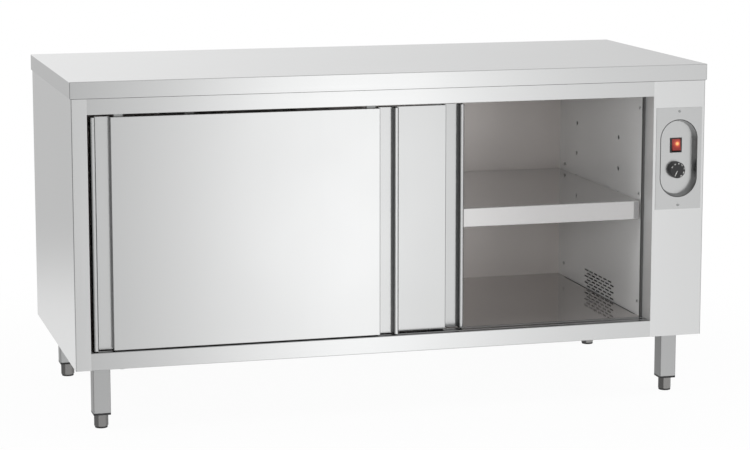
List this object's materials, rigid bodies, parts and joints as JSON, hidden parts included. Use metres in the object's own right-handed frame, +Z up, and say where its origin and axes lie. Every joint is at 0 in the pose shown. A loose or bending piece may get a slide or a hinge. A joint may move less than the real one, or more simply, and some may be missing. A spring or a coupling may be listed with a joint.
{
  "type": "plate warmer cabinet",
  "caption": "Heated stainless cupboard on four levelling feet, with two sliding doors, a loose shelf, a flat worktop and a recessed switch and thermostat.",
  "frame": {"origin": "on the floor, under the centre of the worktop, with the feet screwed in", "axes": "+X to the right along the length, +Y from the doors to the back, +Z up"},
  "size_m": [1.6, 0.7, 0.845],
  "materials": {
    "brushed_stainless": "satin brushed stainless steel",
    "bright_stainless": "bright rolled stainless steel",
    "zinc_plated_steel": "zinc plated",
    "aluminium_track": "mill finish extrusion",
    "heater_steel": "dark oxidised steel sheath",
    "board": "moisture resistant chipboard",
    "mineral_wool": "matt fibre slab",
    "black_rubber": "matt black",
    "black_plastic": "satin black moulding",
    "white_plastic": "natural nylon",
    "cable_sheath": "black sheath",
    "red_lens": "translucent red, lit from inside"
  },
  "bodies": {
    "cabinet": {"worktop_skin": "brushed_stainless", "worktop_board": "board", "left_side_outer": "brushed_stainless", "right_side_outer": "brushed_stainless", "back_outer": "brushed_stainless", "top_rail": "brushed_stainless", "bottom_rail": "brushed_stainless", "base_panel": "zinc_plated_steel", "left_side_inner": "bright_stainless", "right_side_inner": "bright_stainless", "back_inner": "bright_stainless", "floor_panel": "bright_stainless", "ceiling_panel": "bright_stainless", "insulation_slabs": "mineral_wool", "jamb_seals": "black_rubber", "wall_screws": "zinc_plated_steel", "shelf_supports": "zinc_plated_steel", "door_track": "aluminium_track", "track_stops": "black_rubber", "control_plate": "brushed_stainless", "control_plate_screws": "zinc_plated_steel", "switch_body": "black_plastic", "thermostat_body": "black_plastic", "air_duct": "zinc_plated_steel", "heater_element": "heater_steel", "fan_frame": "black_plastic", "terminal_block": "white_plastic", "wiring_harness": "cable_sheath", "cable_gland": "black_plastic", "legs": "brushed_stainless", "leg_bolts": "zinc_plated_steel", "leg_plugs": "black_plastic"},
    "shelf": {"shelf_panel": "bright_stainless", "shelf_stiffener": "bright_stainless"},
    "rocker": {"switch_rocker": "red_lens"},
    "knob": {"thermostat_knob": "black_plastic", "thermostat_spindle": "zinc_plated_steel"},
    "fan": {"fan_rotor": "black_plastic"},
    "front_door": {"front_door_outer_skin": "brushed_stainless", "front_door_inner_skin": "brushed_stainless", "front_door_core": "mineral_wool", "front_door_left_handle": "brushed_stainless", "front_door_right_handle": "brushed_stainless", "front_door_hangers": "zinc_plated_steel", "front_door_guides": "black_plastic"},
    "front_left_roller": {"front_door_left_roller": "white_plastic"},
    "front_right_roller": {"front_door_right_roller": "white_plastic"},
    "rear_door": {"rear_door_outer_skin": "brushed_stainless", "rear_door_inner_skin": "brushed_stainless", "rear_door_core": "mineral_wool", "rear_door_left_handle": "brushed_stainless", "rear_door_right_handle": "brushed_stainless", "rear_door_hangers": "zinc_plated_steel", "rear_door_guides": "black_plastic"},
    "rear_left_roller": {"rear_door_left_roller": "white_plastic"},
    "rear_right_roller": {"rear_door_right_roller": "white_plastic"},
    "front_left_foot": {"foot_front_left": "brushed_stainless"},
    "front_right_foot": {"foot_front_right": "brushed_stainless"},
    "back_left_foot": {"foot_back_left": "brushed_stainless"},
    "back_right_foot": {"foot_back_right": "brushed_stainless"}
  },
  "joints": [
    {"name": "front_door_slide", "type": "slide", "parent": "cabinet", "child": "front_door", "axis": [1, 0, 0], "range_m": [0, 0.652]},
    {"name": "rear_door_slide", "type": "slide", "parent": "cabinet", "child": "rear_door", "axis": [1, 0, 0], "range_m": [-0.175, 0.477]},
    {"name": "front_left_roller_turn", "type": "hinge", "parent": "front_door", "child": "front_left_roller", "pos_m": [-0.684, -0.32565, 0.78305], "axis": [0, 1, 0], "continuous": true},
    {"name": "front_right_roller_turn", "type": "hinge", "parent": "front_door", "child": "front_right_roller", "pos_m": [-0.068, -0.32565, 0.78305], "axis": [0, 1, 0], "continuous": true},
    {"name": "rear_left_roller_turn", "type": "hinge", "parent": "rear_door", "child": "rear_left_roller", "pos_m": [-0.509, -0.29865, 0.78305], "axis": [0, 1, 0], "continuous": true},
    {"name": "rear_right_roller_turn", "type": "hinge", "parent": "rear_door", "child": "rear_right_roller", "pos_m": [0.107, -0.29865, 0.78305], "axis": [0, 1, 0], "continuous": true},
    {"name": "shelf_lift", "type": "slide", "parent": "cabinet", "child": "shelf", "axis": [0, 0, 1], "range_m": [0, 0.164]},
    {"name": "knob_turn", "type": "hinge", "parent": "cabinet", "child": "knob", "pos_m": [0.7285, -0.33575, 0.5775], "axis": [0, 1, 0], "range_deg": [0, 270]},
    {"name": "rocker_tilt", "type": "hinge", "parent": "cabinet", "child": "rocker", "pos_m": [0.7285, -0.324, 0.6395], "axis": [1, 0, 0], "range_deg": [0, 22]},
    {"name": "fan_spin", "type": "hinge", "parent": "cabinet", "child": "fan", "pos_m": [0.677, 0.005, 0.228], "axis": [1, 0, 0], "continuous": true},
    {"name": "front_left_foot_screw", "type": "slide", "parent": "cabinet", "child": "front_left_foot", "axis": [0, 0, -1], "range_m": [0, 0.05]},
    {"name": "front_right_foot_screw", "type": "slide", "parent": "cabinet", "child": "front_right_foot", "axis": [0, 0, -1], "range_m": [0, 0.05]},
    {"name": "back_left_foot_screw", "type": "slide", "parent": "cabinet", "child": "back_left_foot", "axis": [0, 0, -1], "range_m": [0, 0.05]},
    {"name": "back_right_foot_screw", "type": "slide", "parent": "cabinet", "child": "back_right_foot", "axis": [0, 0, -1], "range_m": [0, 0.05]}
  ],
  "couplings": [
    {"joint": "front_left_roller_turn", "follows": "front_door_slide", "rad_per_m": 83.333},
    {"joint": "front_right_roller_turn", "follows": "front_door_slide", "rad_per_m": 83.333},
    {"joint": "rear_left_roller_turn", "follows": "rear_door_slide", "rad_per_m": 83.333},
    {"joint": "rear_right_roller_turn", "follows": "rear_door_slide", "rad_per_m": 83.333}
  ]
}
